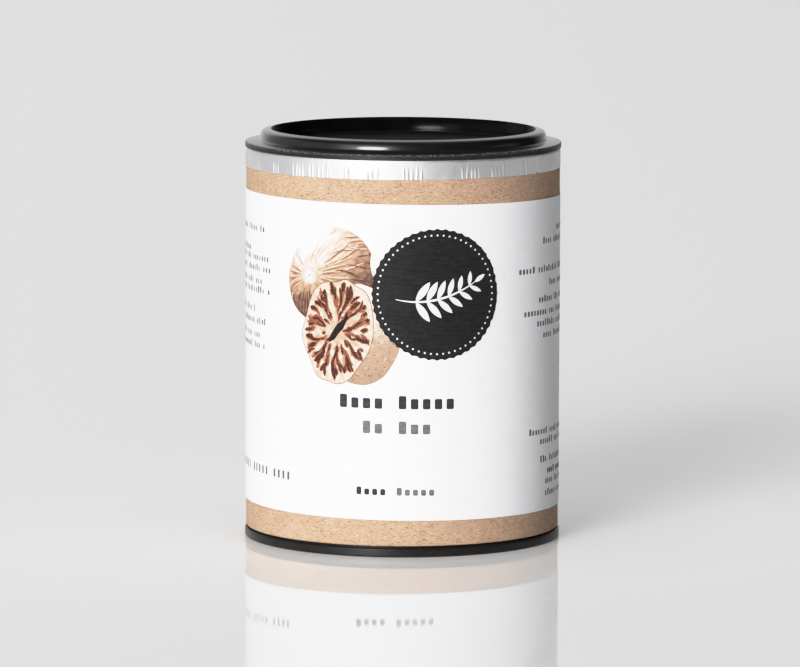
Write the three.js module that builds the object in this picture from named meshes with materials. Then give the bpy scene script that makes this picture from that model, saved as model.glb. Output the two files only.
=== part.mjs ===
// A round paperboard spice can, shut with a black plastic plug lid.
// Millimetres, +Z up. The origin is the centre of the can's underside, and the front is towards -Y.
// The can can't be seen into, so its tube is one solid core with the lid and the base on its two ends.

import * as THREE from 'three';

// Heights above the surface that the can stands on.
const BASE_FLANGE_TOP = 1.85;
const BASE_NECK_TOP = 2.25;
const TUBE_BOTTOM = 2.29;
const TUBE_TOP = 80.92;
const LID_BOTTOM = 81;
const LID_FLOOR = 81.65;
const FLANGE_TOP = 82.13;
const RING_CREST = 84.7;

// Radii.
const TUBE_RADIUS = 32.44;
const BASE_RADIUS = 32.66;
const LID_RADIUS = 32.68;
const RING_RADIUS = 29.62;
const RECESS_RADIUS = 26.36;

// The label and the foil band are thin strips wrapped round the tube, and the end of each laps over
// its start. The label was put on slightly askew, so that its two ends are out of line.
const SKIN_GAP = 0.04;
const LAP_WIDTH = 5;
const LAP_RAMP = 1.2;
const LABEL_BOTTOM = 7.62;
const LABEL_TOP = 72.03;
const LABEL_THICKNESS = 0.08;
const LABEL_SLOPE = -0.0108;
const LABEL_SEAM = THREE.MathUtils.degToRad(-188);
const FOIL_BOTTOM = 77.11;
const FOIL_TOP = 80.94;
const FOIL_THICKNESS = 0.06;
const FOIL_SEAM = THREE.MathUtils.degToRad(58);
const FOIL_LAP_LOWER_EDGE = 0.35;

// The shallow hollow under the base leaves a flat annular foot.
const FOOT_INNER_RADIUS = 29.4;
const FOOT_HOLLOW_DEPTH = 1.2;

const ROUND_SEGMENTS = 96;
const STRIP_SEGMENTS = 96;
const FULL_TURN = 2 * Math.PI;

const kraft = new THREE.MeshStandardMaterial({ color: 0xd4b294, roughness: 0.85, metalness: 0 });
const labelPaper = new THREE.MeshStandardMaterial({ color: 0xf7f7f8, roughness: 0.6, metalness: 0 });
const foil = new THREE.MeshStandardMaterial({ color: 0xd9d9dc, roughness: 0.3, metalness: 1 });
const lidPlastic = new THREE.MeshStandardMaterial({ color: 0x161617, roughness: 0.25, metalness: 0 });
const basePlastic = new THREE.MeshStandardMaterial({ color: 0x1b1b1c, roughness: 0.45, metalness: 0 });

// Turns a profile about the vertical axis. Each point is [radius, height], and the profile runs
// from the axis below, outwards and up to the axis above.
function turned(profile) {
  const points = profile.map(([radius, height]) => new THREE.Vector2(radius, height));
  return new THREE.LatheGeometry(points, ROUND_SEGMENTS).rotateX(Math.PI / 2);
}

// The corners of an arc about [radius, height], from one angle to another in degrees, where 0
// points outwards and 90 points up.
function arc([radius, height], size, from, to, steps) {
  const corners = [];
  for (let step = 0; step <= steps; step += 1) {
    const angle = THREE.MathUtils.degToRad(from + ((to - from) * step) / steps);
    corners.push([radius + size * Math.cos(angle), height + size * Math.sin(angle)]);
  }
  return corners;
}

// Wraps a thin straight strip once round the tube, from the angle of its seam, with its last
// millimetres climbing on to its start. slope is its rise for each millimetre along it, counted
// from the front, and lapLowerEdge is how far the lapped end's lower edge is cut back.
function wrapped({ thickness, bottom, top, seam, slope, lapLowerEdge }) {
  const radius = TUBE_RADIUS + SKIN_GAP;
  const length = FULL_TURN * radius + LAP_WIDTH;
  const rampStart = FULL_TURN - LAP_RAMP / radius;
  const strip = new THREE.BoxGeometry(length, top - bottom, thickness, STRIP_SEGMENTS, 1, 1);
  const corners = strip.getAttribute('position');
  for (let i = 0; i < corners.count; i += 1) {
    const turn = (corners.getX(i) + length / 2) / radius;
    const climb = THREE.MathUtils.smoothstep(turn, rampStart, FULL_TURN);
    const angle = seam + turn;
    const reach = radius + thickness / 2 + corners.getZ(i) + climb * (thickness + SKIN_GAP);
    const edge = corners.getY(i) > 0 ? top : bottom + climb * lapLowerEdge;
    corners.setXYZ(i, reach * Math.sin(angle), -reach * Math.cos(angle), edge + slope * radius * angle);
  }
  return strip;
}

function named(name, geometry, material) {
  const mesh = new THREE.Mesh(geometry, material);
  mesh.name = name;
  return mesh;
}

// The board tube, filled to a solid core. Its upper rim is rounded, and its lower edge is cut with
// a small bevel.
function makeTube() {
  const bevel = 0.15;
  const rim = 0.45;
  return turned([
    [0, TUBE_BOTTOM],
    [TUBE_RADIUS - bevel, TUBE_BOTTOM],
    [TUBE_RADIUS, TUBE_BOTTOM + bevel],
    ...arc([TUBE_RADIUS - rim, TUBE_TOP - rim], rim, 0, 90, 3),
    [0, TUBE_TOP],
  ]);
}

// The centre of a smaller arc that leaves a larger one smoothly, at an angle in degrees.
function leaving([radius, height], size, angle, smallerSize) {
  const reach = size - smallerSize;
  const turn = THREE.MathUtils.degToRad(angle);
  return [radius + reach * Math.cos(turn), height + reach * Math.sin(turn)];
}

// The lid's flange covers the tube's rim, and rises a little to a stout ring round a flat recess.
// The ring's outer wall bulges slightly and rounds over into a crest, which climbs inwards to a
// narrow lip. Under the lip the recess's wall grows steeper until it is upright at the floor.
function makeLid() {
  const underside = { edge: 0.25, bevel: 0.12 };
  const flangeRound = 0.15;
  const foot = { rise: 0.35, fillet: 0.45 };
  const outerWall = { widest: RING_CREST - 2.03, round: 3.3 };
  const shoulder = { start: 22.5, end: 79.5, round: 0.9 };
  const lip = { end: 147.4, round: 0.25 };
  const innerWall = { upright: RING_CREST - 2.97, round: 5.3 };
  const floorFillet = 0.3;

  const outerCentre = [RING_RADIUS - outerWall.round, outerWall.widest];
  const shoulderCentre = leaving(outerCentre, outerWall.round, shoulder.start, shoulder.round);
  const innerCentre = [RECESS_RADIUS + innerWall.round, innerWall.upright];
  const lipCentre = leaving(innerCentre, innerWall.round, lip.end, lip.round);
  return turned([
    [0, LID_BOTTOM],
    [LID_RADIUS - underside.edge, LID_BOTTOM],
    [LID_RADIUS, LID_BOTTOM + underside.bevel],
    ...arc([LID_RADIUS - flangeRound, FLANGE_TOP - flangeRound], flangeRound, 0, 82, 2),
    ...arc([RING_RADIUS + foot.fillet, FLANGE_TOP + foot.rise + foot.fillet], foot.fillet, -90, -176, 3),
    ...arc(outerCentre, outerWall.round, 6, 14, 1),
    ...arc(shoulderCentre, shoulder.round, shoulder.start, shoulder.end, 4),
    ...arc(lipCentre, lip.round, shoulder.end, lip.end, 2),
    ...arc(innerCentre, innerWall.round, 155, 177, 3),
    ...arc([RECESS_RADIUS - floorFillet, LID_FLOOR + floorFillet], floorFillet, -15, -90, 2),
    [0, LID_FLOOR],
  ]);
}

// The base cap's flange carries the tube on a slightly narrower neck, which leaves a dark groove
// all round. Its underside is hollowed a little inside a flat annular foot.
function makeBase() {
  const round = 0.35;
  const neckRadius = 31.7;
  const hollowSlope = 0.6;
  return turned([
    [0, FOOT_HOLLOW_DEPTH],
    [FOOT_INNER_RADIUS - hollowSlope, FOOT_HOLLOW_DEPTH],
    [FOOT_INNER_RADIUS, 0],
    ...arc([BASE_RADIUS - round, round], round, -90, 0, 3),
    ...arc([BASE_RADIUS - round, BASE_FLANGE_TOP - round], round, 0, 90, 3),
    [neckRadius, BASE_FLANGE_TOP],
    [neckRadius, BASE_NECK_TOP],
    [0, BASE_NECK_TOP],
  ]);
}

function makeLabel() {
  return wrapped({
    thickness: LABEL_THICKNESS,
    bottom: LABEL_BOTTOM,
    top: LABEL_TOP,
    seam: LABEL_SEAM,
    slope: LABEL_SLOPE,
    lapLowerEdge: 0,
  });
}

function makeFoilBand() {
  return wrapped({
    thickness: FOIL_THICKNESS,
    bottom: FOIL_BOTTOM,
    top: FOIL_TOP,
    seam: FOIL_SEAM,
    slope: 0,
    lapLowerEdge: FOIL_LAP_LOWER_EDGE,
  });
}

const can = new THREE.Group();
can.add(
  named('tube', makeTube(), kraft),
  named('label', makeLabel(), labelPaper),
  named('foil_band', makeFoilBand(), foil),
  named('lid', makeLid(), lidPlastic),
  named('base_cap', makeBase(), basePlastic),
);

export default can;
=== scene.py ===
"""The looks of a shut paperboard spice can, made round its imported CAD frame.

Lengths are in millimetres in the functions that shape the pieces, and in metres in the meshes.
A place on the can is an angle round it, 0 at the front (-Y) and growing towards +X, and a height.
A place on the label is (along, up): millimetres round the can from the front, and millimetres up.
"""

import math
import random

import bmesh
import bpy
from mathutils import Matrix, Vector, noise


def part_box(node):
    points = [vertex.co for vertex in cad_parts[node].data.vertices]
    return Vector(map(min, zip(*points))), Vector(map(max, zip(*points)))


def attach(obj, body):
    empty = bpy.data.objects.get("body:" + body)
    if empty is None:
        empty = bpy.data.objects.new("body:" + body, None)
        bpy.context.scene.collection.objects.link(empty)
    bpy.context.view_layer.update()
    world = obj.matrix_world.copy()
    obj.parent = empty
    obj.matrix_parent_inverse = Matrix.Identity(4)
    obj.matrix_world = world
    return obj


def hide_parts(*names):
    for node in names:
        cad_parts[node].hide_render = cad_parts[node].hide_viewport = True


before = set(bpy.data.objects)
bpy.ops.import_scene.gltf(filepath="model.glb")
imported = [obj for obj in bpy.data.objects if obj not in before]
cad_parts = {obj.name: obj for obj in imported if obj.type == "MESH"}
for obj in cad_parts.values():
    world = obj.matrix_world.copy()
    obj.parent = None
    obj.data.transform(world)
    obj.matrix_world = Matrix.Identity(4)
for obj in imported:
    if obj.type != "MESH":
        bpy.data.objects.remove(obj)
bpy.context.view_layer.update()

MM = 0.001
FULL_TURN = 2 * math.pi


def outer_size(node_name):
    """A CAD node's outer radius, lowest height and highest height, in mm."""
    low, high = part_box(node_name)
    return high.x / MM, low.z / MM, high.z / MM


TUBE_RADIUS, TUBE_BOTTOM, TUBE_TOP = outer_size("tube")
LID_RADIUS, LID_BOTTOM, RING_CREST = outer_size("lid")
BASE_RADIUS, _, BASE_NECK_TOP = outer_size("base_cap")
_, FOIL_BOTTOM, FOIL_TOP = outer_size("foil_band")

# The lid's and the base's sections.
LID_FLOOR = 81.65
FLANGE_TOP = 82.13
RING_RADIUS = 29.62
RECESS_RADIUS = 26.36
BASE_FLANGE_TOP = 1.85
BASE_NECK_RADIUS = 31.7
FOOT_INNER_RADIUS = 29.4
FOOT_HOLLOW_DEPTH = 1.2

# The label and the foil band, two strips that each lap over their own start.
SKIN_GAP = 0.04
SKIN_RADIUS = TUBE_RADIUS + SKIN_GAP
LAP_WIDTH = 5.0
LAP_RAMP = 1.2
LABEL_BOTTOM = 7.62
LABEL_TOP = 72.03
LABEL_THICKNESS = 0.08
LABEL_SLOPE = -0.0108
LABEL_SEAM = math.radians(-188)
FOIL_THICKNESS = 0.06
FOIL_SEAM = math.radians(58)
FOIL_LAP_LOWER_EDGE = 0.35

# The camera: a long lens a little above the can, looking slightly down. Its place is in metres.
CAMERA_PLACE = Vector((-0.000535, -1.29951, 0.20005))
CAMERA_PITCH = math.radians(-6.937)
CAMERA_ROLL = math.radians(0.214)
CAMERA_LENS = 283.74

# An edge that bends by more than this stays sharp.
SHARP_ANGLE = math.radians(35)


# ---- small helpers

def smoothstep(value, low, high):
    """From 0 at the low value to 1 at the high one, smoothly."""
    share = min(max((value - low) / (high - low), 0.0), 1.0)
    return share * share * (3 - 2 * share)


def polar(radius, angle, height):
    """A point on the can, in metres."""
    return (radius * math.sin(angle) * MM, -radius * math.cos(angle) * MM, height * MM)


def arc(centre, size, start, end, steps):
    """Points of an arc about (radius, height), in degrees, where 0 points outwards and 90 up."""
    points = []
    for step in range(steps + 1):
        angle = math.radians(start + (end - start) * step / steps)
        points.append((centre[0] + size * math.cos(angle), centre[1] + size * math.sin(angle)))
    return points


def linked(name, data):
    """A new object in the scene."""
    made = bpy.data.objects.new(name, data)
    bpy.context.scene.collection.objects.link(made)
    return made


def finished(name, vertices, faces, material):
    """A smooth-shaded mesh object whose sharp edges stay sharp."""
    mesh = bpy.data.meshes.new(name)
    mesh.from_pydata(vertices, [], faces)
    mesh.validate()
    shaped = bmesh.new()
    shaped.from_mesh(mesh)
    bmesh.ops.recalc_face_normals(shaped, faces=shaped.faces)
    shaped.to_mesh(mesh)
    shaped.free()
    mesh.shade_smooth()
    mesh.set_sharp_from_angle(angle=SHARP_ANGLE)
    mesh.materials.append(material)
    return linked(name, mesh)


def part_of_can(piece, slot_name, *replaced_nodes):
    """Hangs a finished piece under the can's root, and hides the CAD nodes that it stands for. The slot name
    is not used.
    """
    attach(piece, "root")
    if replaced_nodes:
        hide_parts(*replaced_nodes)


def leaving(centre, size, angle, smaller_size):
    """The centre of a smaller arc that leaves a larger one smoothly, at an angle in degrees."""
    reach = size - smaller_size
    turn = math.radians(angle)
    return centre[0] + reach * math.cos(turn), centre[1] + reach * math.sin(turn)


def divided(profile, longest):
    """The same outline with its long straight stretches cut into steps of at most this length."""
    points = [profile[0]]
    for start, end in zip(profile, profile[1:]):
        pieces = max(1, math.ceil(math.dist(start, end) / longest))
        for step in range(1, pieces + 1):
            share = step / pieces
            points.append(tuple(a + (b - a) * share for a, b in zip(start, end)))
    return points


def turned(name, profile, steps, material, relief=None):
    """Turns a profile of (radius, height), which runs from the axis below to the axis above.

    relief(angle, radius, height) moves a point, and returns its new radius and height.
    """
    bottom, *rings, top = profile
    vertices = [polar(0, 0, bottom[1])]
    for radius, height in rings:
        for step in range(steps):
            angle = FULL_TURN * step / steps
            reach, level = relief(angle, radius, height) if relief else (radius, height)
            vertices.append(polar(reach, angle, level))
    vertices.append(polar(0, 0, top[1]))
    last = len(vertices) - 1
    faces = []
    for step in range(steps):
        after = (step + 1) % steps
        faces.append((0, 1 + after, 1 + step))
        for ring in range(len(rings) - 1):
            row = 1 + ring * steps
            faces.append((row + step, row + after, row + steps + after, row + steps + step))
        row = 1 + (len(rings) - 1) * steps
        faces.append((row + step, row + after, last))
    return finished(name, vertices, faces, material)


def wrapped(name, start, length, columns, rows, outer, edges, thickness, material):
    """A thin closed strip round the tube.

    outer(along, share) is the outer face's radius, where share is 0 at the lower edge and 1 at the
    upper one, and edges(along) returns the heights of the two edges. Each column of points goes up
    the outer face and down the inner one.
    """
    around = 2 * (rows + 1)
    vertices = []
    for column in range(columns + 1):
        along = start + length * column / columns
        low, high = edges(along)
        for depth, order in ((0.0, range(rows + 1)), (thickness, range(rows, -1, -1))):
            for row in order:
                share = row / rows
                radius = outer(along, share) - depth
                vertices.append(polar(radius, along / SKIN_RADIUS, low + (high - low) * share))
    faces = []
    for corner in range(columns * around):
        beside = corner + 1 if (corner + 1) % around else corner + 1 - around
        faces.append((corner, corner + around, beside + around, beside))
    for end in (0, columns * around):
        for row in range(rows):
            across = around - 1 - row
            faces.append((end + row, end + row + 1, end + across - 1, end + across))
    return finished(name, vertices, faces, material)


# ---- shader nodes

class Nodes:
    """Adds nodes to a tree. Each call returns the new node's output."""

    def __init__(self, tree):
        self.tree = tree

    def add(self, kind, inputs=None, output=0, **settings):
        node = self.tree.nodes.new("ShaderNode" + kind)
        for name, value in settings.items():
            setattr(node, name, value)
        for name, value in (inputs or {}).items():
            self.feed(node.inputs[name], value)
        return node.outputs[output]

    def feed(self, socket, value):
        if isinstance(value, bpy.types.NodeSocket):
            self.tree.links.new(value, socket)
        else:
            socket.default_value = value

    def math(self, operation, first, second=0.0):
        return self.add("Math", {0: first, 1: second}, operation=operation)

    def product(self, first, second):
        return self.math("MULTIPLY", first, second)

    def total(self, first, second):
        return self.math("ADD", first, second)

    def blend(self, first, second, share):
        """The mean of two values, weighted by the second one's share."""
        return self.total(self.product(first, 1 - share), self.product(second, share))

    def length(self, x, y):
        return self.math("SQRT", self.total(self.math("POWER", x, 2.0), self.math("POWER", y, 2.0)))

    def rescaled(self, value, low, high, new_low=0.0, new_high=1.0, kind="LINEAR"):
        """The value moved from one range to another, and held within it."""
        return self.add("MapRange", {"Value": value, "From Min": low, "From Max": high,
                                     "To Min": new_low, "To Max": new_high}, interpolation_type=kind)

    def spread(self, pattern, low, high):
        """A noise stretched to reach from the low value to the high one."""
        return self.rescaled(pattern, 0.3, 0.7, low, high)

    def ramp(self, factor, *stops):
        """A colour ramp from (place, colour) pairs. A plain number stands for a grey."""
        color = self.add("ValToRGB", {"Fac": factor})
        elements = color.node.color_ramp.elements
        while len(elements) < len(stops):
            elements.new(0.5)
        for element, (place, value) in zip(elements, stops):
            element.position = place
            element.color = (value, value, value, 1) if isinstance(value, (int, float)) else (*value, 1)
        return color

    def mix(self, factor, first, second):
        node = self.tree.nodes.new("ShaderNodeMix")
        node.data_type = "RGBA"
        self.feed(node.inputs[0], factor)
        for socket, color in ((6, first), (7, second)):
            self.feed(node.inputs[socket], color if isinstance(color, bpy.types.NodeSocket) else (*color, 1))
        return node.outputs[2]

    def split(self, vector):
        """The three numbers of a vector."""
        return self.add("SeparateXYZ", {0: vector}).node.outputs

    def place(self):
        """The place on the piece, in millimetres."""
        inside = self.add("TexCoord", output=3)
        return self.add("Mapping", {"Vector": inside, "Scale": (1 / MM, 1 / MM, 1 / MM)})

    def unrolled(self, slope=0.0):
        """The place round the can unrolled flat: (along, up, out from the axis), in millimetres."""
        x, y, z = self.split(self.place())
        along = self.product(self.math("ARCTAN2", x, self.product(y, -1.0)), SKIN_RADIUS)
        up = self.math("SUBTRACT", z, self.product(along, slope))
        return self.add("CombineXYZ", {"X": along, "Y": up, "Z": self.length(x, y)})

    def bump(self, height, distance, strength=1.0):
        """A bump of that height in millimetres."""
        return self.add("Bump", {"Height": height, "Distance": distance * MM, "Strength": strength})


class Surface(Nodes):
    """A new material with a Principled shader.

    Its patterns lie flat: in the place unrolled round the can, or in the plain place on the piece.
    """

    def __init__(self, name, slope=0.0, rolled=True, **constants):
        self.material = bpy.data.materials.new(name)
        self.material.use_nodes = True
        super().__init__(self.material.node_tree)
        self.inputs = self.tree.nodes["Principled BSDF"].inputs
        for socket, value in constants.items():
            self.inputs[socket.replace("_", " ")].default_value = value
        self.flat = self.unrolled(slope) if rolled else self.place()

    def noise(self, scale, detail=2.0, roughness=0.5, squeeze=None, turn=0.0):
        """A noise, which can be squeezed along its axes and then turned in the plane."""
        vector = self.flat
        if squeeze:
            vector = self.add("Mapping", {"Vector": vector, "Rotation": (0, 0, turn), "Scale": squeeze})
        return self.add("TexNoise", {"Vector": vector, "Scale": scale, "Detail": detail,
                                     "Roughness": roughness})

    def dressed(self, color, roughness=None, normal=None):
        """The material, once its shader is fed."""
        for socket, value in (("Base Color", color), ("Roughness", roughness), ("Normal", normal)):
            if value is not None:
                self.feed(self.inputs[socket], value)
        return self.material


# The short fibres in the board, pale ones and then dark ones: the way they lie in radians, their
# scale, the height of the noise that they fill, their strength and their colour.
BOARD_FIBRES = (
    (0.5, 1.3, 0.67, 0.6, (0.6, 0.44, 0.33)),
    (-0.8, 1.6, 0.68, 0.6, (0.58, 0.42, 0.31)),
    (1.9, 1.5, 0.68, 0.55, (0.59, 0.44, 0.33)),
    (1.3, 1.7, 0.675, 0.75, (0.2, 0.12, 0.072)),
    (-0.25, 1.4, 0.685, 0.75, (0.17, 0.1, 0.06)),
    (-1.2, 1.9, 0.67, 0.7, (0.22, 0.13, 0.08)),
)


def kraft_material():
    """Unbleached board: a soft mottle with short pale and dark fibres that lie every way."""
    nodes = Surface("kraft_board", Roughness=0.8, Specular_IOR_Level=0.25)
    cloud = nodes.noise(0.3, detail=3)
    grain = nodes.noise(3.2, detail=5, roughness=0.66, squeeze=(0.8, 1.15, 0.6))
    color = nodes.ramp(nodes.blend(cloud, grain, 0.7), (0.34, (0.35, 0.225, 0.15)),
                       (0.5, (0.43, 0.285, 0.197)), (0.68, (0.5, 0.345, 0.248)))
    for turn, scale, threshold, strength, fibre_color in BOARD_FIBRES:
        fibres = nodes.noise(scale, detail=1, squeeze=(0.7, 2.6, 1), turn=turn)
        shown = nodes.rescaled(fibres, threshold - 0.04, threshold + 0.03, 0, strength)
        color = nodes.mix(shown, color, fibre_color)
    return nodes.dressed(color, normal=nodes.bump(grain, 0.05, 0.6))


def label_paper_material():
    """Smooth white paper, hardly mottled, with a slight sheen, and a faint blue tint that is painted light:
    the cool cast of the light on the can's shaded side.
    """
    nodes = Surface("label_paper", Specular_IOR_Level=0.35)
    mottle = nodes.noise(0.35, detail=4, roughness=0.6)
    fine = nodes.noise(5.0, detail=3)
    # The faint blue in these colours is painted light, standing in for the cool light on the can's right
    # side.
    color = nodes.ramp(mottle, (0.3, (0.832, 0.832, 0.86)), (0.7, (0.872, 0.872, 0.893)))
    return nodes.dressed(color, nodes.spread(fine, 0.46, 0.56), nodes.bump(fine, 0.008, 0.5))


def foil_material():
    """Thin bright foil with a soft sheen, faintly rolled in upright lines and finely crinkled."""
    nodes = Surface("foil", Metallic=1.0)
    rolled = nodes.noise(2.2, detail=3, squeeze=(2.2, 0.15, 1))
    crinkle = nodes.noise(0.9, detail=4, roughness=0.55, squeeze=(1, 0.5, 1))
    color = nodes.ramp(rolled, (0.3, (0.85, 0.85, 0.86)), (0.7, (0.9, 0.9, 0.905)))
    return nodes.dressed(color, nodes.spread(crinkle, 0.5, 0.6), nodes.bump(crinkle, 0.016, 0.6))


def lid_material():
    """Black moulded plastic, glossy and faintly rippled, with a soft sheen round its highlights."""
    nodes = Surface("lid_plastic", Specular_IOR_Level=0.4, Coat_Weight=0.5, Coat_Roughness=0.36)
    ripple = nodes.noise(0.25)
    color = nodes.ramp(ripple, (0.3, 0.0055), (0.7, 0.0075))
    return nodes.dressed(color, nodes.spread(ripple, 0.12, 0.17), nodes.bump(ripple, 0.003))


def flange_material():
    """Duller black plastic, torn into pale flecks along the flange's upper edge."""
    nodes = Surface("flange_plastic", Specular_IOR_Level=0.22)
    _, up, out = nodes.split(nodes.flat)
    edge = nodes.product(nodes.rescaled(out, LID_RADIUS - 0.6, LID_RADIUS - 0.2),
                         nodes.rescaled(up, FLANGE_TOP - 0.5, FLANGE_TOP - 0.15))
    grain = nodes.noise(4.0, detail=3, squeeze=(1, 0.5, 1))
    torn = nodes.noise(2.6, detail=3, roughness=0.65, squeeze=(1, 1.6, 1.6))
    flecks = nodes.product(edge, nodes.rescaled(torn, 0.5, 0.62))
    color = nodes.mix(flecks, nodes.ramp(grain, (0.35, 0.01), (0.7, 0.02)), (0.17, 0.17, 0.17))
    height = nodes.total(nodes.product(grain, 0.15), nodes.product(edge, torn))
    return nodes.dressed(color, nodes.spread(grain, 0.32, 0.46), nodes.bump(height, 0.07))


def recess_material():
    """The same plastic inside the recess: its wall painted with shade to a deeper black than the plastic
    elsewhere, and its floor dull and grained.

    The wall's gloss fades towards the two sides.
    """
    nodes = Surface("recess_plastic", rolled=False, IOR=1.16)
    x, _, height = nodes.split(nodes.flat)
    on_wall = nodes.rescaled(height, LID_FLOOR + 0.05, LID_FLOOR + 0.3)
    ripple = nodes.noise(0.3)
    grain = nodes.noise(3.0, detail=3)
    # The wall's colour is darker than the lid's plastic: painted shade of the recess.
    wall_color_with_painted_shade = nodes.ramp(ripple, (0.3, 0.002), (0.7, 0.0035))
    floor_color = nodes.ramp(nodes.blend(ripple, grain, 0.5), (0.35, 0.006), (0.65, 0.011))
    dullness = nodes.rescaled(on_wall, 0.0, 1.0, 0.45, 0.0)
    sideways = nodes.rescaled(nodes.math("ABSOLUTE", x), RECESS_RADIUS - 3.5, RECESS_RADIUS - 1.2, 0.5, 0.02)
    gloss = nodes.product(sideways, nodes.rescaled(on_wall, 0.0, 1.0, 0.3, 1.0))
    nodes.feed(nodes.inputs["Specular IOR Level"], gloss)
    roughness = nodes.total(nodes.spread(ripple, 0.14, 0.2), dullness)
    color = nodes.mix(on_wall, floor_color, wall_color_with_painted_shade)
    return nodes.dressed(color, roughness, nodes.bump(ripple, 0.02))


def base_material():
    """Black moulded plastic with a satin skin."""
    nodes = Surface("base_plastic", Specular_IOR_Level=0.26)
    grain = nodes.noise(4.0, detail=3)
    worn = nodes.noise(1.0, detail=4, squeeze=(0.3, 1.5, 1))
    color = nodes.ramp(worn, (0.35, 0.0075), (0.7, 0.012))
    return nodes.dressed(color, nodes.spread(grain, 0.3, 0.4), nodes.bump(grain, 0.01, 0.6))


# All inks are matt.
INK_SHADER = {"Roughness": 0.55, "Specular_IOR_Level": 0.14}


def ink_material(name, dark, light):
    """Flat printing ink, slightly uneven, with the fine level lines of the press."""
    nodes = Surface(name, LABEL_SLOPE, **INK_SHADER)
    cloud = nodes.noise(1.2, detail=3)
    lines = nodes.noise(1.0, squeeze=(0.35, 4.0, 1))
    return nodes.dressed(nodes.ramp(nodes.blend(cloud, lines, 0.6), (0.35, dark), (0.65, light)))


def shaded_ink_material(name, centre, reach, stops, mottle=0.12):
    """Printing ink that goes from colour to colour with the distance from a lit place."""
    nodes = Surface(name, LABEL_SLOPE, **INK_SHADER)
    along, up, _ = nodes.split(nodes.flat)
    away = nodes.length(nodes.total(along, -centre[0]), nodes.total(up, -centre[1]))
    distance = nodes.math("DIVIDE", away, reach)
    uneven = nodes.spread(nodes.noise(0.9, detail=5, roughness=0.6), -mottle, mottle)
    return nodes.dressed(nodes.ramp(nodes.total(distance, uneven), *stops))


# ---- the can's five pieces

def make_tube():
    """The board tube, filled to a solid core, with a rounded upper rim."""
    bevel = 0.15
    rim = 0.45
    profile = [
        (0, TUBE_BOTTOM),
        (TUBE_RADIUS - 2.0, TUBE_BOTTOM),
        (TUBE_RADIUS - bevel, TUBE_BOTTOM),
        (TUBE_RADIUS, TUBE_BOTTOM + bevel),
        *arc((TUBE_RADIUS - rim, TUBE_TOP - rim), rim, 0, 90, 8),
        (0, TUBE_TOP),
    ]
    tube = turned("tube_board", divided(profile, 8), 360, kraft_material())
    part_of_can(tube, "kraft_board", "tube")


SEAM_START = LABEL_SEAM * SKIN_RADIUS
SEAM_END = SEAM_START + FULL_TURN * SKIN_RADIUS

# How far the label's two edges lift from the board at most, how far in that reaches, and how much
# the whole sheet waves.
LABEL_LIFT = 0.07
LABEL_LIFT_REACH = 1.3
LABEL_WAVE = 0.006


def label_radius(along, share):
    """The label's outer face: nearly round, with its two edges lifting slightly here and there."""
    climb = smoothstep(along, SEAM_END - LAP_RAMP, SEAM_END)
    from_edge = min(share, 1 - share) * (LABEL_TOP - LABEL_BOTTOM)
    loose = max(0.0, noise.noise(Vector((along * 0.045, 4 * round(share), 7.3))) + 0.25)
    lift = LABEL_LIFT * min(loose, 1.0) * math.exp(-from_edge / LABEL_LIFT_REACH) * (1 - climb)
    wave = LABEL_WAVE * noise.noise(Vector((along * 0.08, share * 2.5, 1.7)))
    return SKIN_RADIUS + LABEL_THICKNESS + climb * (LABEL_THICKNESS + SKIN_GAP) + lift + wave


def label_edges(along):
    """The heights of the label's two edges."""
    return LABEL_BOTTOM + LABEL_SLOPE * along, LABEL_TOP + LABEL_SLOPE * along


def make_label():
    """The white paper label, wrapped round the tube slightly askew."""
    length = FULL_TURN * SKIN_RADIUS + LAP_WIDTH
    label = wrapped("label_sheet", SEAM_START, length, 640, 48, label_radius, label_edges,
                    LABEL_THICKNESS, label_paper_material())
    part_of_can(label, "label_paper", "label")


# Groups of small upright pleats that the foil was gathered into: (mm along from the front, count).
# Past the last of them the groups go on round the back, where they are spaced at random.
PLEAT_GROUPS = ((-37.7, 3), (-30.1, 3), (-23.4, 4), (-20.0, 2), (-16.6, 4), (-11.6, 2), (-6.2, 3),
                (1.9, 5), (14.2, 5), (20.7, 4), (27.8, 3), (38.8, 3))
PLEAT_PITCH = 0.92
FOIL_RELIEF = 0.135


def foil_pleats():
    """Each pleat's (place along, width, height, upper end, lean), over the whole turn."""
    chance = random.Random(41)
    groups = list(PLEAT_GROUPS)
    behind = PLEAT_GROUPS[-1][0] + 7.0
    while behind < PLEAT_GROUPS[0][0] + FULL_TURN * SKIN_RADIUS - 4:
        groups.append((behind + chance.uniform(-1.2, 1.2), chance.choice((2, 3, 4))))
        behind += chance.uniform(5.5, 8.0)
    pleats = []
    for centre, count in groups:
        for number in range(count):
            along = centre + (number - (count - 1) / 2) * PLEAT_PITCH + chance.uniform(-0.16, 0.16)
            pleats.append((along, chance.uniform(0.13, 0.19), chance.uniform(0.09, FOIL_RELIEF),
                           chance.uniform(0.6, 0.95), chance.uniform(-0.35, 0.35)))
    return pleats


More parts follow.
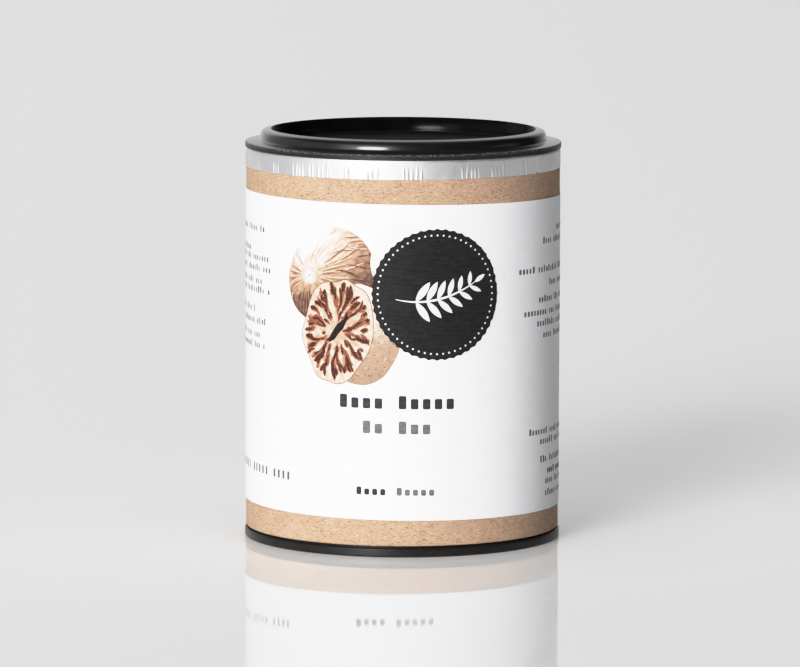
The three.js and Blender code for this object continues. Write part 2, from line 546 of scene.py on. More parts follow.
def make_foil_band():
    """The foil round the tube's rim: pleated, wavy below, and turned inwards at its upper edge."""
    turn = FULL_TURN * SKIN_RADIUS
    start = FOIL_SEAM * SKIN_RADIUS
    end = start + turn
    crinkle, edge_wave, top_turn = 0.012, 0.05, 0.12
    relief_lost_in_lap = 0.07
    pleats = foil_pleats()

    def edges(along):
        climb = smoothstep(along, end - LAP_RAMP, end)
        wave = edge_wave * noise.noise(Vector((along * 0.5, 2.2, 0.4)))
        return FOIL_BOTTOM + climb * FOIL_LAP_LOWER_EDGE + max(wave, 0), FOIL_TOP

    def outer(along, share):
        climb = smoothstep(along, end - LAP_RAMP, end)
        relief = crinkle * noise.noise(Vector((along * 0.9, share * 1.5, 5.5)))
        for place, width, height, upper_end, lean in pleats:
            away = (along - place - lean * share + turn / 2) % turn - turn / 2
            if abs(away) < 4 * width:
                reach = 1 - smoothstep(share, upper_end - 0.4, upper_end)
                relief += height * reach * math.exp(-(away / width) ** 2)
        relief = min(relief, FOIL_RELIEF - climb * relief_lost_in_lap)
        relief -= top_turn * smoothstep(share, 0.93, 1.0) ** 2
        return SKIN_RADIUS + FOIL_THICKNESS + climb * (FOIL_THICKNESS + SKIN_GAP) + relief

    foil = wrapped("foil_rim", start, turn + LAP_WIDTH, 2600, 14, outer, edges,
                   FOIL_THICKNESS, foil_material())
    part_of_can(foil, "foil", "foil_band")


def make_lid():
    """The lid: a flange with a torn edge, and a raised ring round a recess with a flat floor."""
    underside_edge, underside_bevel = 0.25, 0.12
    flange_round = 0.15
    foot_rise, foot_fillet = 0.35, 0.45
    outer_wall_round, outer_wall_widest = 3.3, RING_CREST - 2.03
    shoulder_start, shoulder_end, shoulder_round = 22.5, 79.5, 0.9
    lip_end, lip_round = 147.4, 0.25
    inner_wall_round, inner_wall_upright = 5.3, RING_CREST - 2.97
    floor_fillet = 0.3
    tear_depth = 0.022

    outer_centre = (RING_RADIUS - outer_wall_round, outer_wall_widest)
    shoulder_centre = leaving(outer_centre, outer_wall_round, shoulder_start, shoulder_round)
    inner_centre = (RECESS_RADIUS + inner_wall_round, inner_wall_upright)
    lip_centre = leaving(inner_centre, inner_wall_round, lip_end, lip_round)
    profile = [
        (0, LID_BOTTOM),
        (LID_RADIUS - underside_edge, LID_BOTTOM),
        (LID_RADIUS, LID_BOTTOM + underside_bevel),
        *arc((LID_RADIUS - flange_round, FLANGE_TOP - flange_round), flange_round, 0, 82, 6),
        *arc((RING_RADIUS + foot_fillet, FLANGE_TOP + foot_rise + foot_fillet), foot_fillet, -90, -176, 8),
        *arc(outer_centre, outer_wall_round, 5, 20, 7),
        *arc(shoulder_centre, shoulder_round, shoulder_start, shoulder_end, 12),
        *arc(lip_centre, lip_round, shoulder_end, lip_end, 7),
        *arc(inner_centre, inner_wall_round, 150, 177, 8),
        *arc((RECESS_RADIUS - floor_fillet, LID_FLOOR + floor_fillet), floor_fillet, -10, -90, 6),
        (0, LID_FLOOR),
    ]

    def torn_edge(angle, radius, height):
        """Roughens the outer edge of the flange, where the moulding was trimmed."""
        depth = tear_depth * smoothstep(radius, LID_RADIUS - 0.5, LID_RADIUS - 0.1)
        depth *= smoothstep(height, FLANGE_TOP - 0.5, FLANGE_TOP - 0.1)
        rough = noise.fractal(Vector((angle * 90, height * 4, radius * 3)), 0.8, 2.0, 3)
        return radius - depth * (1 + rough), height + depth * rough

    lid = turned("lid_moulding", divided(profile, 2.2), 960, lid_material(), torn_edge)
    lid.data.materials.append(flange_material())
    lid.data.materials.append(recess_material())
    for face in lid.data.polygons:
        radius = math.hypot(face.center.x, face.center.y) / MM
        if radius > LID_RADIUS - 0.45:
            face.material_index = 1
        elif radius < lip_centre[0] and face.center.z > LID_BOTTOM * MM:
            face.material_index = 2
    part_of_can(lid, "lid_plastic", "lid")


def make_base():
    """The base: a rounded flange under a narrower neck, with a hollow inside its flat foot."""
    edge_round = 0.35
    hollow_slope = 0.6
    profile = [
        (0, FOOT_HOLLOW_DEPTH),
        (FOOT_INNER_RADIUS - hollow_slope, FOOT_HOLLOW_DEPTH),
        (FOOT_INNER_RADIUS, 0),
        *arc((BASE_RADIUS - edge_round, edge_round), edge_round, -90, 0, 8),
        *arc((BASE_RADIUS - edge_round, BASE_FLANGE_TOP - edge_round), edge_round, 0, 90, 8),
        (BASE_NECK_RADIUS, BASE_FLANGE_TOP),
        (BASE_NECK_RADIUS, BASE_NECK_TOP),
        (0, BASE_NECK_TOP),
    ]
    base = turned("base_moulding", divided(profile, 4), 480, base_material())
    part_of_can(base, "base_plastic", "base_cap")


# ---- the print on the label

# How high the lowest ink lies on the label, how much higher each next layer lies, and how wide a
# stretch of ink may be before it has to bend.
INK_LIFT = 0.010
INK_LAYER = 0.006
INK_COLUMN = 0.8


def cut_into_columns(flat):
    """Cuts the wide faces of a flat shape into upright columns, so that it can bend round the can."""
    cut = min(corner.co.x for corner in flat.verts) + INK_COLUMN
    right = max(corner.co.x for corner in flat.verts)
    while cut < right:
        crossed = []
        for face in flat.faces:
            across = [corner.co.x for corner in face.verts]
            if min(across) < cut < max(across) and max(across) - min(across) > INK_COLUMN:
                crossed.append(face)
        if crossed:
            around = {edge for face in crossed for edge in face.edges}
            corners = {corner for face in crossed for corner in face.verts}
            bmesh.ops.bisect_plane(flat, geom=list(corners) + list(around) + crossed,
                                   plane_co=(cut, 0, 0), plane_no=(1, 0, 0))
        cut += INK_COLUMN


def printed(name, outlines, layer, ink):
    """Lays flat outlines of (along, up) points on the label, as one thin skin of ink."""
    flat = bmesh.new()
    for outline in outlines:
        flat.faces.new([flat.verts.new((along, up, 0)) for along, up in outline])
    bmesh.ops.triangulate(flat, faces=flat.faces)
    cut_into_columns(flat)
    flat.verts.index_update()
    places = [(corner.co.x, corner.co.y) for corner in flat.verts]
    vertices = []
    for depth in (0.0, INK_LIFT / 2 + (layer + 1) * INK_LAYER):
        for along, up in places:
            share = (up - LABEL_BOTTOM) / (LABEL_TOP - LABEL_BOTTOM)
            radius = label_radius(along, share) + INK_LIFT + layer * INK_LAYER - depth
            vertices.append(polar(radius, along / SKIN_RADIUS, up + LABEL_SLOPE * along))
    under = len(places)
    faces = []
    for face in flat.faces:
        corners = [corner.index for corner in face.verts]
        faces.append(corners)
        faces.append([under + index for index in reversed(corners)])
    for edge in flat.edges:
        if len(edge.link_faces) == 1:
            first, second = (corner.index for corner in edge.verts)
            faces.append((first, second, under + second, under + first))
    flat.free()
    part_of_can(finished(name, vertices, faces, ink), "label_paper")


def moved(origin, turn, x, y):
    """The place of (x, y), once it is turned anticlockwise by an angle and moved to an origin."""
    cosine, sine = math.cos(turn), math.sin(turn)
    return origin[0] + x * cosine - y * sine, origin[1] + x * sine + y * cosine


def on_ellipse(outline, x, y):
    """The place of a point of the unit circle, laid on an ellipse.

    The ellipse is its centre, half width, half height and turn in degrees.
    """
    centre, half_width, half_height, turn = outline
    return moved(centre, math.radians(turn), x * half_width, y * half_height)


def ellipse(centre, half_width, half_height, turn=0.0, steps=72, uneven=0.0, seed=0.0):
    """An ellipse's outline, which can be slightly uneven."""
    points = []
    for step in range(steps):
        angle = FULL_TURN * step / steps
        x, y = math.cos(angle), math.sin(angle)
        swell = 1 + uneven * noise.noise(Vector((2 * x, 2 * y, seed)))
        points.append(on_ellipse((centre, half_width, half_height, turn), swell * x, swell * y))
    return points


def block(left, foot, width, height):
    """The outline of an upright block with rounded corners."""
    size = min(0.3, 0.3 * width)
    outline = []
    for x, y, start in ((width - size, size, -90), (width - size, height - size, 0),
                        (size, height - size, 90), (size, size, 180)):
        outline.extend(arc((left + x, foot + y), size, start, start + 90, 2))
    return outline


# The printed heap of nutmegs. Each outline is its centre, half width, half height and turn. The
# whole seed's pole is a place on the unit circle that its outline is drawn from.
WHOLE_SEED = ((-15.6, 56.9), 10.7, 9.4, 45)
WHOLE_SEED_POLE = (-0.31, 0.34)
BACK_SEED = ((0.6, 60.4), 7.2, 8.2, 0)
CUT_SEED_BODY = ((-8.6, 45.4), 8.2, 10.3, 0)
CUT_SEED_FACE = ((-13.8, 45.9), 10.5, 7.7, 82)


def stroke(points, width, chance, ragged=0.25, bias=1.0):
    """A brush stroke's outline along some points, pointed at both ends and slightly ragged.

    It is widest in the middle, or nearer its end when the bias is above 1.
    """
    tip = 0.04
    left, right = [], []
    last = len(points) - 1
    for index, (x, y) in enumerate(points):
        before, after = points[max(index - 1, 0)], points[min(index + 1, last)]
        run, rise = after[0] - before[0], after[1] - before[1]
        length = math.hypot(run, rise)
        share = tip + (1 - 2 * tip) * index / last
        half = 0.5 * width * math.sin(math.pi * share ** bias) ** 0.7
        for side, sign in ((left, 1), (right, -1)):
            reach = sign * half * (1 + chance.uniform(-ragged, ragged))
            side.append((x - rise / length * reach, y + run / length * reach))
    return left + right[::-1]


def furrow(outline, pole, heading, start, end, wander, steps=9):
    """A line on a round seed that runs from its pole, as a meridian does on a globe.

    It ends where the seed turns away from view.
    """
    least_depth = 0.12
    depth = math.sqrt(1 - pole[0] ** 2 - pole[1] ** 2)
    axis = Vector((pole[0], pole[1], depth))
    east = Vector((0, 1, 0)).cross(axis).normalized()
    north = axis.cross(east)
    points = []
    for step in range(steps + 1):
        turn = start + (end - start) * step / steps
        bend = heading + wander * math.sin(3.1 * turn)
        outwards = math.cos(bend) * east + math.sin(bend) * north
        place = math.cos(turn) * axis + math.sin(turn) * outwards
        if place.z < least_depth:
            break
        points.append(on_ellipse(outline, place.x, place.y))
    return points


# Where the light on the printed nutmegs comes from, and how far from it the shade is deepest.
SEED_LIGHT = (-22.0, 68.0)
SEED_SHADE = 20.0

# The furrows' inks: how deep in the shade each begins, and its darkest and its lightest colour.
# Nearer the light there are no furrows.
FURROW_INKS = {
    "light": (0.36, (0.46, 0.3, 0.215), (0.56, 0.39, 0.29)),
    "middle": (0.52, (0.21, 0.105, 0.064), (0.32, 0.18, 0.115)),
    "deep": (0.76, (0.07, 0.03, 0.021), (0.13, 0.06, 0.038)),
}
FURROW_COUNT = 52


def make_whole_seed():
    """A whole nutmeg, lit from the upper left, with furrows that run out from a pale pole."""
    ground = shaded_ink_material("whole_seed_ink", SEED_LIGHT, SEED_SHADE, (
        (0.3, (0.85, 0.8, 0.78)), (0.46, (0.72, 0.53, 0.44)), (0.62, (0.47, 0.31, 0.22)),
        (0.8, (0.26, 0.15, 0.1)), (0.95, (0.11, 0.06, 0.046))))
    printed("print_whole_seed", [ellipse(*WHOLE_SEED, uneven=0.03, seed=9)], 0, ground)
    chance = random.Random(17)
    furrows = {tone: [] for tone in FURROW_INKS}
    ridges = []
    for number in range(FURROW_COUNT):
        heading = FULL_TURN * (number + chance.uniform(-0.35, 0.35)) / FURROW_COUNT
        start = chance.uniform(0.24, 0.45)
        while start < 1.75:
            end = start + chance.uniform(0.3, 0.75)
            wander = chance.uniform(-0.22, 0.22)
            points = furrow(WHOLE_SEED, WHOLE_SEED_POLE, heading, start, end, wander)
            beside = furrow(WHOLE_SEED, WHOLE_SEED_POLE, heading + 0.05, start, end, wander)
            start = end - chance.uniform(-0.1, 0.05)
            if len(points) < 5 or len(beside) < 5:
                continue
            middle = points[len(points) // 2]
            shade = math.hypot(middle[0] - SEED_LIGHT[0], middle[1] - SEED_LIGHT[1]) / SEED_SHADE
            shade += chance.uniform(-0.07, 0.07)
            tones = [tone for tone, (begins, _, _) in FURROW_INKS.items() if shade >= begins]
            if not tones:
                continue
            tone = tones[-1]
            furrows[tone].append(stroke(points, chance.uniform(0.2, 0.55), chance))
            if tone == "middle":
                ridges.append(stroke(beside, chance.uniform(0.15, 0.35), chance))
    for tone, (_, dark, light) in FURROW_INKS.items():
        printed(f"print_furrows_{tone}", furrows[tone], 2, ink_material(f"furrow_{tone}_ink", dark, light))
    printed("print_ridges", ridges, 1, ink_material("ridge_ink", (0.58, 0.41, 0.31), (0.7, 0.53, 0.42)))
    pole = on_ellipse(WHOLE_SEED, *WHOLE_SEED_POLE)
    pale = shaded_ink_material("seed_pole_ink", pole, 2.1, (
        (0.3, (0.76, 0.67, 0.65)), (1.0, (0.5, 0.34, 0.25))))
    printed("print_seed_pole", [ellipse(pole, 1.9, 1.8, 15, 40, uneven=0.15, seed=4)], 3, pale)
    navel = ink_material("seed_navel_ink", (0.14, 0.09, 0.08), (0.2, 0.13, 0.11))
    printed("print_seed_navel", [ellipse(pole, 0.22, 0.18, 20, 16, uneven=0.2)], 4, navel)


def make_back_seed():
    """A very pale nutmeg that stands behind the others, with a warm left edge."""
    left_edge = (BACK_SEED[0][0] - BACK_SEED[1], BACK_SEED[0][1] - 5)
    pale = shaded_ink_material("back_seed_ink", left_edge, 9.0, (
        (0.0, (0.56, 0.4, 0.27)), (0.25, (0.72, 0.58, 0.49)), (0.8, (0.82, 0.77, 0.75))), 0.05)
    printed("print_back_seed", [ellipse(*BACK_SEED, uneven=0.03, seed=3)], 3, pale)


def make_cut_seed_body():
    """The outside of the halved nutmeg, nearly white above and speckled tan below."""
    light = (CUT_SEED_BODY[0][0] + 1.5, CUT_SEED_BODY[0][1] + CUT_SEED_BODY[2])
    tan = shaded_ink_material("cut_seed_body_ink", light, 20.0, (
        (0.15, (0.8, 0.69, 0.64)), (0.42, (0.66, 0.5, 0.42)), (0.62, (0.41, 0.275, 0.2)),
        (1.0, (0.33, 0.22, 0.155))), 0.1)
    printed("print_cut_seed_body", [ellipse(*CUT_SEED_BODY, uneven=0.04, seed=14)], 4, tan)
    chance = random.Random(29)
    dark_specks, pale_specks = [], []
    speck_count = 420
    for number in range(speck_count):
        turn, reach = chance.uniform(0, FULL_TURN), 0.95 * math.sqrt(chance.random())
        x, y = on_ellipse(CUT_SEED_BODY, reach * math.cos(turn), reach * math.sin(turn))
        if y > light[1] - 7 - chance.uniform(0, 3):
            continue
        tilt, length = chance.uniform(0.1, 0.8), chance.uniform(0.25, 0.8)
        points = [(x + length * share * math.cos(tilt), y + length * share * math.sin(tilt))
                  for share in (0, 0.33, 0.67, 1)]
        specks = pale_specks if number % 3 == 0 else dark_specks
        specks.append(stroke(points, chance.uniform(0.12, 0.3), chance))
    dark = ink_material("dark_speck_ink", (0.17, 0.1, 0.065), (0.27, 0.17, 0.115))
    printed("print_dark_specks", dark_specks, 5, dark)
    pale = ink_material("pale_speck_ink", (0.46, 0.33, 0.25), (0.55, 0.41, 0.32))
    printed("print_pale_specks", pale_specks, 5, pale)


# The rings of veins on the cut face: count, and nearest end, farthest end and width in mm. The ends
# are shares of the way out from the middle.
VEIN_RINGS = ((20, 0.3, 0.95, 1.2), (34, 0.6, 0.98, 1.05), (15, 0.2, 0.52, 0.85))

# The darkest and the lightest colour of the veins' three inks. Each lies on the one before.
VEIN_INKS = {
    "tan": ((0.34, 0.165, 0.095), (0.5, 0.3, 0.2)),
    "warm": ((0.17, 0.055, 0.03), (0.28, 0.115, 0.07)),
    "dark": ((0.035, 0.012, 0.009), (0.09, 0.03, 0.02)),
}

# The bent line of the dark hollow, as places on the unit circle that the face is drawn from.
HOLLOW = ((0.34, -0.24), (0.22, -0.19), (0.11, -0.1), (-0.02, 0.0), (-0.14, 0.08), (-0.24, 0.17))


def vein(heading, start, end, chance):
    """The points of one vein of the cut face, from near its middle out to its edge."""
    bend = chance.uniform(-0.2, 0.2)
    phase = chance.uniform(0, FULL_TURN)
    steps = 8
    points = []
    for step in range(steps + 1):
        reach = start + (end - start) * step / steps
        waver = 0.06 * math.sin(9 * reach + phase)
        turn = heading + bend * (reach - 0.5) + waver
        points.append(on_ellipse(CUT_SEED_FACE, reach * math.cos(turn), reach * math.sin(turn)))
    return points


def make_cut_seed_face():
    """The cut face: cream, marbled with red-brown veins that run in towards a dark hollow."""
    outline = ellipse(*CUT_SEED_FACE, steps=90, uneven=0.12, seed=21)
    rim = ink_material("face_rim_ink", (0.1, 0.05, 0.03), (0.26, 0.15, 0.1))
    middle_x, middle_y = CUT_SEED_FACE[0]
    wider, taller = 1.02, 1.016
    rim_outline = [(middle_x + wider * (x - middle_x), middle_y + taller * (y - middle_y))
                   for x, y in outline]
    printed("print_face_rim", [rim_outline], 6, rim)
    cream = shaded_ink_material("cut_seed_face_ink", CUT_SEED_FACE[0], 11.0, (
        (0.1, (0.48, 0.31, 0.22)), (0.4, (0.6, 0.42, 0.33)), (0.7, (0.74, 0.56, 0.48)),
        (1.0, (0.56, 0.39, 0.29))), 0.5)
    printed("print_cut_seed_face", [outline], 7, cream)
    chance = random.Random(33)
    veins = {tone: [] for tone in VEIN_INKS}
    for count, nearest, farthest, widest in VEIN_RINGS:
        for number in range(count):
            heading = FULL_TURN * (number + chance.uniform(-0.45, 0.45)) / count
            start = nearest + chance.uniform(-0.06, 0.12)
            end = farthest - chance.uniform(0.0, 0.12)
            width = widest * chance.uniform(0.55, 1.1)
            points = vein(heading, start, end, chance)
            veins["tan"].append(stroke(points, 1.35 * width, chance, 0.5, 1.2))
            veins["warm"].append(stroke(points, width, chance, 0.6, chance.uniform(0.8, 1.6)))
            cut = chance.choice((0, 1, 2, 3, 4))
            core = points[:5 + cut] if chance.random() < 0.35 else points[cut:]
            veins["dark"].append(stroke(core, chance.uniform(0.45, 0.85) * width, chance, 0.6, 1.2))
    for layer, (tone, colors) in enumerate(VEIN_INKS.items(), 8):
        printed(f"print_{tone}_veins", veins[tone], layer, ink_material(f"{tone}_vein_ink", *colors))
    hollow = [on_ellipse(CUT_SEED_FACE, *place) for place in HOLLOW]
    ink = ink_material("hollow_ink", (0.008, 0.005, 0.004), (0.02, 0.012, 0.009))
    printed("print_hollow", [stroke(hollow, 1.5, chance, 0.3)], 11, ink)


def make_picture():
    """A small heap of nutmegs: two whole ones, and one cut in half."""
    make_whole_seed()
    make_back_seed()
    make_cut_seed_body()
    make_cut_seed_face()


# The round seal beside the nutmegs: its place and size on the label, and its layer of ink.
BADGE_CENTRE = (7.0, 53.8)
BADGE_RADIUS = 13.45
BADGE_LAYER = 12


def leaf(base, direction, length, width, steps=8):
    """A pointed leaf's outline, growing from its base in a direction given in radians."""
    outline = []
    for side, order in ((1, range(steps + 1)), (-1, range(steps - 1, 0, -1))):
        for step in order:
            share = step / steps
            reach = side * width / 2 * math.sin(math.pi * share) ** 0.8
            outline.append(moved(base, direction, length * share, reach))
    return outline


def sprig():
    """A white sprig that lies across the badge: its stem, and pairs of leaves along it."""
    length, rise, bow, lift = 17.0, 0.22, 1.9, 0.9
    leaf_pairs, first_pair, last_pair = 6, 0.24, 0.9
    spread = 0.95

    def stem_place(share):
        along = length * (share - 0.5)
        return (BADGE_CENTRE[0] + along,
                BADGE_CENTRE[1] + rise * along - bow * (1 - (2 * share - 1) ** 2) + lift)

    def heading(before, after):
        return math.atan2(after[1] - before[1], after[0] - before[0])

    shapes = [stroke([stem_place(step / 24) for step in range(25)], 0.45, random.Random(1), 0.0)]
    for pair in range(leaf_pairs):
        share = first_pair + (last_pair - first_pair) * pair / (leaf_pairs - 1)
        base = stem_place(share)
        onwards = heading(base, stem_place(share + 0.02))
        size = 5.0 - 0.4 * pair
        for side in (1, -1):
            shapes.append(leaf(base, onwards + side * spread, size, 0.3 * size))
    tip_base = stem_place(0.97)
    shapes.append(leaf(tip_base, heading(tip_base, stem_place(1.0)), 2.8, 0.95))
    return shapes


def make_badge():
    """A dark seal with a finely scalloped edge and a ring of dots, and a white sprig on it."""
    scallops, scallop_depth, steps = 48, 0.28, 288
    dots, dot_size, dots_inset = 60, 0.2, 1.35
    seal = []
    for step in range(steps):
        angle = FULL_TURN * step / steps
        cut = scallop_depth * abs(math.sin(scallops * angle / 2)) ** 1.5
        seal.append(moved(BADGE_CENTRE, angle, BADGE_RADIUS - cut, 0))
    charcoal = ink_material("charcoal_ink", (0.0085, 0.0085, 0.009), (0.019, 0.019, 0.0195))
    printed("print_seal", [seal], BADGE_LAYER, charcoal)
    ring = []
    for number in range(dots):
        centre = moved(BADGE_CENTRE, FULL_TURN * number / dots, BADGE_RADIUS - dots_inset, 0)
        ring.append(ellipse(centre, dot_size, dot_size, steps=10))
    white = ink_material("white_ink", (0.68, 0.68, 0.69), (0.8, 0.8, 0.81))
    printed("print_sprig", ring, BADGE_LAYER + 1, white)
    for number, shape in enumerate(sprig()):
        printed(f"print_sprig_{number}", [shape], BADGE_LAYER + 1 + number % 2, white)


# The large lines of print: (left end, foot, height, pitch, and the blocks in each group).
TITLE = (-13.0, 30.4, 2.15, 2.45, (4, 5))
SUBTITLE = (-8.1, 25.3, 2.05, 2.45, (2, 3))
FOOTNOTE = (-9.4, 12.7, 1.3, 1.65, (4,))
PALE_FOOTNOTE = (-1.1, 12.7, 1.3, 1.65, (5,))

# The lines of small print on the label's two sides: (the end that is nearer the front, foot).
LEFT_LINES = ((-33.0, 64.2), (-41.2, 59.9), (-31.4, 58.2), (-31.0, 56.0), (-34.2, 53.4), (-30.7, 51.5),
              (-37.5, 47.5), (-32.5, 45.1), (-35.5, 42.3), (-33.3, 40.1))
RIGHT_LINES = ((42.9, 65.2), (35.1, 62.8), (26.5, 57.0), (38.3, 54.1), (33.5, 50.8), (28.2, 48.2),
               (32.8, 45.9), (35.4, 43.4), (30.1, 23.5), (34.3, 21.4), (34.4, 17.6), (36.8, 13.0),
               (36.8, 10.5))
RIGHT_HEADING = (37.8, 15.1)
LEFT_MIDDLE = -57.0
RIGHT_MIDDLE = 56.0
SMALL_HEIGHT = 1.05
SMALL_PITCH = 1.12

# The stamped row low on the left: its blocks run leftwards and rise a little, and the one at the gap
# in each group is left out.
STAMP_PLACE = (-26.2, 14.2)
STAMP_PITCH, STAMP_RISE = 1.5, 0.03
STAMP_BLOCK = (0.7, 1.75)
STAMP_COUNT, STAMP_GROUP, STAMP_GAP = 22, 6, 4


def large_line(left, foot, height, pitch, groups):
    """A line of even blocks in groups, one block's place apart."""
    outlines = []
    place = left
    for count in groups:
        for number in range(count):
            tall = 1.28 if number == 0 else 1.0
            outlines.append(block(place, foot, 0.64 * pitch, tall * height))
            place += pitch
        place += pitch
    return outlines


def small_line(near_end, foot, middle, chance, weight=0.55):
    """A line of small blocks, centred on the middle of its side, in groups of uneven length."""
    left, right = sorted((near_end, 2 * middle - near_end))
    outlines = []
    place = left
    to_gap = chance.randint(3, 8)
    while place < right - SMALL_PITCH:
        if to_gap == 0:
            to_gap = chance.randint(3, 9)
        else:
            to_gap -= 1
            tall = chance.choice((1.0, 1.0, 1.0, 1.35))
            width = weight * SMALL_PITCH * chance.uniform(0.85, 1.2)
            outlines.append(block(place, foot, width, tall * SMALL_HEIGHT))
        place += SMALL_PITCH
    return outlines


def make_large_print():
    """Plain blocks in the place of the label's large lettering."""
    dark = ink_material("dark_text_ink", (0.02, 0.02, 0.021), (0.045, 0.045, 0.047))
    pale = ink_material("pale_text_ink", (0.1, 0.1, 0.105), (0.17, 0.17, 0.175))
    printed("print_title", large_line(*TITLE) + large_line(*FOOTNOTE), 0, dark)
    printed("print_subtitle", large_line(*SUBTITLE) + large_line(*PALE_FOOTNOTE), 0, pale)


def make_small_print():
    """Plain blocks in the place of the small print on the label's two sides."""
    chance = random.Random(5)
    grey = ink_material("small_text_ink", (0.09, 0.09, 0.093), (0.15, 0.15, 0.155))
    dark = ink_material("heading_ink", (0.03, 0.03, 0.031), (0.06, 0.06, 0.062))
    lines = []
    for side_lines, middle in ((LEFT_LINES, LEFT_MIDDLE), (RIGHT_LINES, RIGHT_MIDDLE)):
        for near_end, foot in side_lines:
            lines += small_line(near_end, foot, middle, chance)
    printed("print_small_lines", lines, 0, grey)
    printed("print_heading", small_line(*RIGHT_HEADING, RIGHT_MIDDLE, chance, weight=0.68), 0, dark)
    stamped = []
    for number in range(STAMP_COUNT):
        if number % STAMP_GROUP != STAMP_GAP:
            left, foot = STAMP_PLACE[0] - STAMP_PITCH * number, STAMP_PLACE[1] + STAMP_RISE * number
            stamped.append(block(left, foot, *STAMP_BLOCK))
    printed("print_stamp", stamped, 0, grey)


# ---- scene

def make_camera():
    """The camera, level apart from its pitch and a slight roll."""
    data = bpy.data.cameras.new("camera")
    data.lens = CAMERA_LENS
    camera = linked("camera", data)
    camera.matrix_world = (Matrix.Translation(CAMERA_PLACE)
                           @ Matrix.Rotation(math.radians(90) + CAMERA_PITCH, 4, "X")
                           @ Matrix.Rotation(CAMERA_ROLL, 4, "Z"))
    bpy.context.scene.camera = camera


def make_tone_curve():
    """The plain view, with a long soft shoulder so that lit white paper stays below pure white."""
    view = bpy.context.scene.view_settings
    view.view_transform = "Standard"
    view.use_curve_mapping = True
    mapping = view.curve_mapping
    brightest = 3.0
    mapping.white_level = (brightest, brightest, brightest)
    curve = mapping.curves[3]
    knots = ((0, 0), (0.3, 0.3), (0.6, 0.62), (0.9, 0.835), (1.2, 0.915), (1.6, 0.972),
             (2.1, 1.0), (brightest, 1.0))
    while len(curve.points) < len(knots):
        curve.points.new(0.5, 0.5)
    for point, (scene_value, shown_value) in zip(curve.points, knots):
        point.location = (scene_value / brightest, shown_value)
        point.handle_type = "AUTO_CLAMPED"
    mapping.update()


# The key light: a sun for its even light, and an oval panel for its reflection.
KEY_AZIMUTH = math.radians(-25)
KEY_ELEVATION = math.radians(16)
KEY_WIDTH = math.radians(23)
KEY_IRRADIANCE = math.pi
KEY_RADIANCE = 25.0
KEY_FLATNESS = 0.6

# A wide soft box to the left of the key. Most of its light is a second sun, because it shows only
# faintly in the gloss of the lid.
SOFTBOX_AZIMUTH = math.radians(-32)
SOFTBOX_ELEVATION = math.radians(14)
SOFTBOX_WIDTH = math.radians(42)
SOFTBOX_IRRADIANCE = 0.47 * math.pi
SOFTBOX_RADIANCE = 1.5

# The backdrop's radiance on its left and on its right, and the heights between which it fades, as
# angles above the horizon.
BACKDROP_RADIANCE = (0.93, 0.43)
BACKDROP_FADE = (math.radians(20), math.radians(78))

# The faint light overhead.
OVERHEAD_RADIANCE = 0.15

# A dim pale wall on the left of the studio, and a low dim strip on its right.
LEFT_WALL_RADIANCE = 0.4
RIGHT_STRIP_RADIANCE = 0.32


def toward(azimuth, elevation):
    """The direction from the can towards a place in the studio, with azimuth 0 at the front."""
    return Vector((math.sin(azimuth) * math.cos(elevation),
                   -math.cos(azimuth) * math.cos(elevation), math.sin(elevation)))


def aimed(name, data, azimuth, elevation, distance=1.0):
    """A lamp at a place in the studio, turned towards the can."""
    direction = toward(azimuth, elevation)
    lamp = linked(name, data)
    lamp.location = distance * direction
    lamp.rotation_euler = direction.to_track_quat("Z", "Y").to_euler()
    return lamp


def make_sun(name, azimuth, elevation, width, irradiance):
    """An even light from one side of the studio, which isn't seen in any gloss."""
    data = bpy.data.lights.new(name, "SUN")
    data.energy = irradiance
    data.angle = width
    aimed(name, data, azimuth, elevation).visible_glossy = False


def make_lights():
    """The two suns, and the panel that shows in the gloss."""
    make_sun("key_sun", KEY_AZIMUTH, KEY_ELEVATION, KEY_WIDTH, KEY_IRRADIANCE)
    make_sun("softbox_sun", SOFTBOX_AZIMUTH, SOFTBOX_ELEVATION, SOFTBOX_WIDTH, SOFTBOX_IRRADIANCE)
    distance = 1.5
    panel = bpy.data.lights.new("key_panel", "AREA")
    panel.shape = "ELLIPSE"
    panel.size = 2 * distance * math.tan(KEY_WIDTH / 2)
    panel.size_y = KEY_FLATNESS * panel.size
    area = math.pi / 4 * panel.size * panel.size_y
    panel.energy = KEY_RADIANCE * math.pi * area
    aimed("key_panel", panel, KEY_AZIMUTH, KEY_ELEVATION, distance).visible_diffuse = False


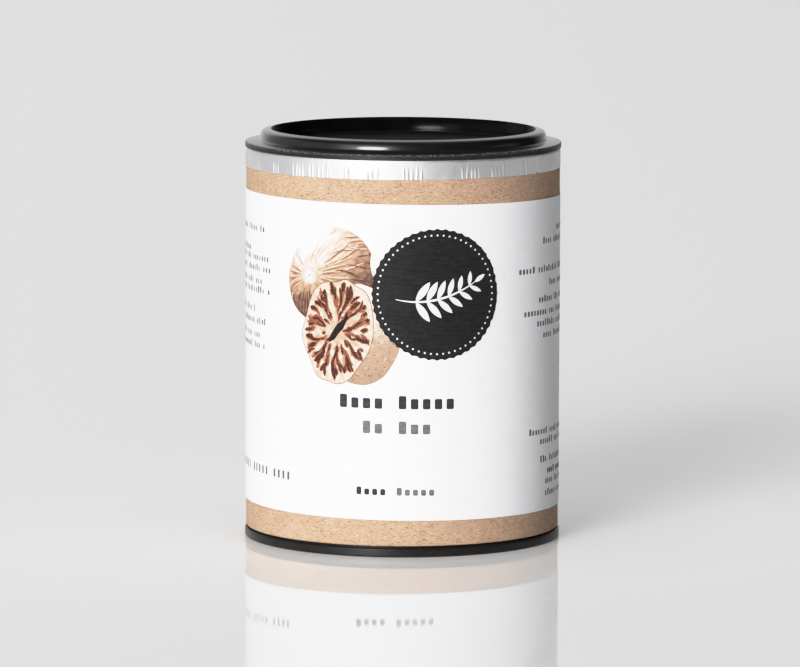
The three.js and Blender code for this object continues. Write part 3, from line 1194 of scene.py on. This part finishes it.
def make_world():
    """A dark studio: a pale backdrop, brighter on the left, a soft box and a faint light overhead."""
    world = bpy.data.worlds.new("studio")
    bpy.context.scene.world = world
    world.use_nodes = True
    nodes = Nodes(world.node_tree)
    background = world.node_tree.nodes["Background"]
    background.inputs["Color"].default_value = (1, 1, 1, 1)
    x, y, z = nodes.split(nodes.add("TexCoord", output=0))
    rightwards = nodes.math("ARCTAN2", x, nodes.product(y, -1.0))
    leftwards = nodes.product(rightwards, -1.0)
    elevation = nodes.math("ARCSINE", z)

    def rising(value, low, high):
        """From 0 at the low angle to 1 at the high one, in degrees."""
        return nodes.rescaled(value, math.radians(low), math.radians(high), kind="SMOOTHSTEP")

    def between(value, low_start, low_end, high_end, high_start):
        """A band of angles with soft edges, in degrees."""
        return nodes.product(rising(value, low_start, low_end), rising(value, high_start, high_end))

    behind = rising(nodes.math("ABSOLUTE", rightwards), 130, 155)
    backdrop = nodes.product(behind, nodes.rescaled(x, -0.4, 0.5, *BACKDROP_RADIANCE))
    backdrop = nodes.product(backdrop, nodes.rescaled(elevation, *BACKDROP_FADE, 1.0, 0.0))
    softbox = nodes.product(between(leftwards, 5, 17, 48, 60), SOFTBOX_RADIANCE)
    left_wall = nodes.product(between(leftwards, 50, 70, 130, 155), LEFT_WALL_RADIANCE)
    right_strip = nodes.product(between(rightwards, 72, 82, 98, 110), rising(elevation, 14, 10))
    low = nodes.total(nodes.total(left_wall, softbox), nodes.product(right_strip, RIGHT_STRIP_RADIANCE))
    overhead = nodes.product(rising(elevation, 45, 65), OVERHEAD_RADIANCE)
    light = nodes.total(nodes.product(low, rising(elevation, 35, 25)), overhead)
    nodes.feed(background.inputs["Strength"], nodes.total(light, backdrop))


def make_floor():
    """A wide pale table top with a thin gloss, so that the can is mirrored at its foot.

    It glows faintly, which is painted light, and least near the can, which paints the contact shadow there.
    """
    half = 4.0
    made = bpy.data.materials.new("table_top")
    made.use_nodes = True
    nodes = Nodes(made.node_tree)
    matt = nodes.add("BsdfDiffuse", {"Color": (0.9, 0.895, 0.888, 1)})
    x, y, _ = nodes.split(nodes.place())
    # The floor's glow is painted light; its dimming near the can paints a contact shadow.
    strength = nodes.rescaled(nodes.length(x, y), 30.0, 85.0, 0.135, 0.225, "SMOOTHSTEP")
    painted_glow = nodes.add("Emission", {"Color": (1, 0.995, 0.985, 1), "Strength": strength})
    gloss = nodes.add("BsdfGlossy", {"Color": (1, 1, 1, 1), "Roughness": 0.04})
    share = nodes.add("Fresnel", {"IOR": 1.45})
    surface = nodes.add("MixShader", {0: share, 1: nodes.add("AddShader", {0: matt, 1: painted_glow}), 2: gloss})
    nodes.feed(made.node_tree.nodes["Material Output"].inputs["Surface"], surface)
    corners = [(-half, -half, 0), (half, -half, 0), (half, half, 0), (-half, half, 0)]
    floor = finished("table_top", corners, [(0, 1, 2, 3)], made)


make_camera()
make_tone_curve()
make_world()
make_lights()
make_floor()
make_tube()
make_label()
make_foil_band()
make_lid()
make_base()
make_picture()
make_badge()
make_large_print()
make_small_print()
